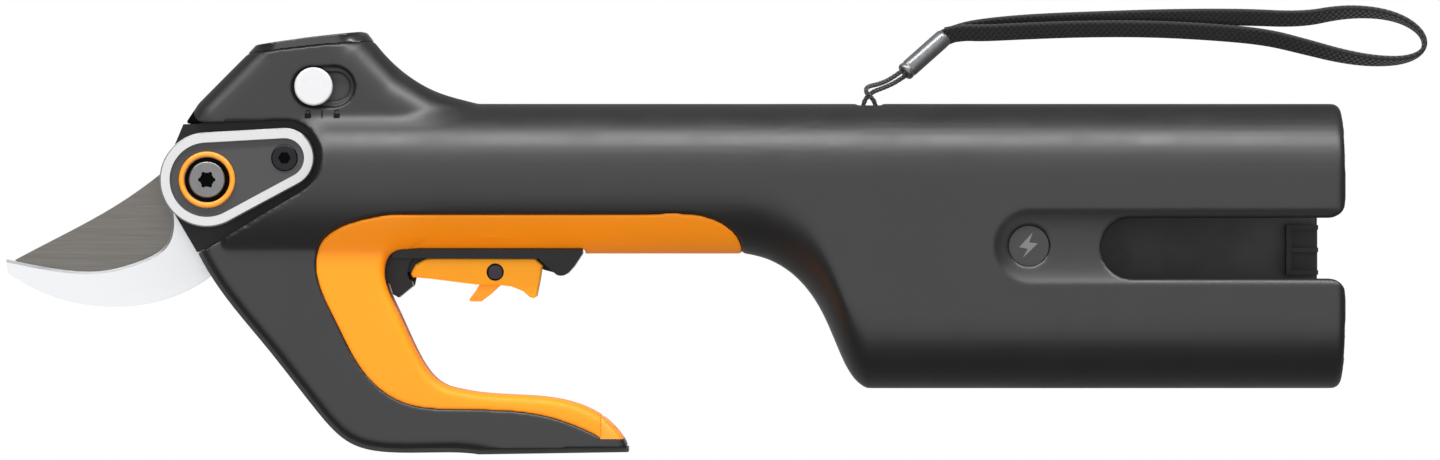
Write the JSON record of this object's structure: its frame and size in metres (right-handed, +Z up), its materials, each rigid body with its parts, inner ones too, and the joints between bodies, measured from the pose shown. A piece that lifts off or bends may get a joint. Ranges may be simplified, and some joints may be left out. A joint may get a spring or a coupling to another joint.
{
  "type": "battery electric pruner",
  "caption": "Cordless garden pruner with hooked bypass blades, round handle with hand guard, finger trigger, lock slider, open battery bay and a wrist strap.",
  "frame": {"origin": "middle of the lying tool's footprint, on the surface it lies on, strap left out", "axes": "+X from the blades to the open battery bay, +Y from the hand guard to the top of the head, +Z up, from the tool's right-hand side to its left-hand side"},
  "size_m": [0.4286, 0.1345, 0.045],
  "materials": {
    "housing_black": "satin, finely textured",
    "grip_orange": "soft satin",
    "guard_black": "satin",
    "cap_black": "high gloss",
    "frame_black": "satin black",
    "bright_steel": "fine brushed, bright",
    "hook_steel": "polished",
    "blade_dark": "dark, brushed",
    "insert_dark": "satin",
    "ring_orange": "satin gloss",
    "bolt_grey": "dark grey",
    "gear_steel": "machined",
    "bushing_bronze": "sintered",
    "motor_steel": "zinc plated",
    "trigger_black": "satin",
    "trigger_orange": "satin",
    "lever_orange": "satin",
    "spring_steel": "drawn wire",
    "knob_silver": "satin silver",
    "part_black": "plain",
    "board_green": "solder mask",
    "contact_brass": "plated",
    "lens_smoke": "smoked",
    "strap_fabric": "woven",
    "cord_fabric": "braided",
    "sleeve_grey": "satin grey"
  },
  "bodies": {
    "housing": {"battery_catch": "trigger_black", "battery_terminal_block": "part_black", "battery_terminals": "contact_brass", "board_components": "part_black", "case_screws": "bolt_grey", "charge_indicator_lens": "lens_smoke", "controller_board": "board_green", "fixed_blade": "hook_steel", "gearbox_housing": "motor_steel", "guard_bumper_strip": "guard_black", "head_frame": "frame_black", "head_top_cap": "cap_black", "hook_screws": "bolt_grey", "left_grip_overmould": "grip_orange", "left_housing_shell": "housing_black", "left_pivot_insert": "insert_dark", "left_pivot_plate": "bright_steel", "lock_switch": "part_black", "motor_can": "motor_steel", "motor_terminals": "contact_brass", "output_bearing": "motor_steel", "pivot_accent_ring": "ring_orange", "pivot_bolt": "bolt_grey", "pivot_bushing": "bushing_bronze", "pivot_nut": "bolt_grey", "plate_screw": "bolt_grey", "power_leads": "guard_black", "right_grip_overmould": "grip_orange", "right_housing_shell": "housing_black", "right_pivot_plate": "bright_steel", "strap_anchor_bar": "bright_steel", "strap_lead_cord": "cord_fabric", "strap_sleeve": "sleeve_grey", "strap_webbing": "strap_fabric", "trigger_frame": "trigger_black", "trigger_pivot_pin": "gear_steel", "trigger_return_spring": "spring_steel", "trigger_switch": "part_black"},
    "blade": {"moving_blade": "blade_dark", "blade_sector_gear": "gear_steel"},
    "drive_shaft": {"bevel_pinion": "gear_steel", "output_shaft": "gear_steel"},
    "trigger": {"trigger": "trigger_orange", "safety_lever_pin": "bolt_grey"},
    "safety_lever": {"trigger_safety_lever": "lever_orange"},
    "lock_slider": {"lock_slider_knob": "knob_silver", "lock_slider_carrier": "part_black"},
    "switch_plunger": {"switch_plunger": "part_black"}
  },
  "joints": [
    {"name": "blade_pivot", "type": "hinge", "parent": "housing", "child": "blade", "pos_m": [-0.139, 0.0188, 0.0225], "axis": [0, 0, 1], "range_deg": [-50, 0]},
    {"name": "drive_spin", "type": "hinge", "parent": "housing", "child": "drive_shaft", "pos_m": [-0.1197, 0.0188, 0.0259], "axis": [1, 0, 0], "range_deg": [-175, 0]},
    {"name": "trigger_pull", "type": "hinge", "parent": "housing", "child": "trigger", "pos_m": [-0.073, -0.0069, 0.0225], "axis": [0, 0, 1], "range_deg": [0, 7], "stiffness_Nm_per_rad": 1.2, "springref_deg": -2.29, "deforming": ["trigger_return_spring"]},
    {"name": "safety_lever_squeeze", "type": "hinge", "parent": "trigger", "child": "safety_lever", "pos_m": [-0.0533, -0.0088, 0.0225], "axis": [0, 0, 1], "range_deg": [-25, 0], "stiffness_Nm_per_rad": 0.02, "springref_deg": 11.46},
    {"name": "lock_slide", "type": "slide", "parent": "housing", "child": "lock_slider", "axis": [1, 0, 0], "range_m": [0, 0.0062]},
    {"name": "plunger_push", "type": "slide", "parent": "housing", "child": "switch_plunger", "axis": [0, 1, 0], "range_m": [0, 0.0036]}
  ],
  "couplings": [
    {"joint": "drive_spin", "follows": "blade_pivot", "ratio": 3.5},
    {"joint": "plunger_push", "follows": "trigger_pull", "m_per_rad": 0.0285}
  ]
}
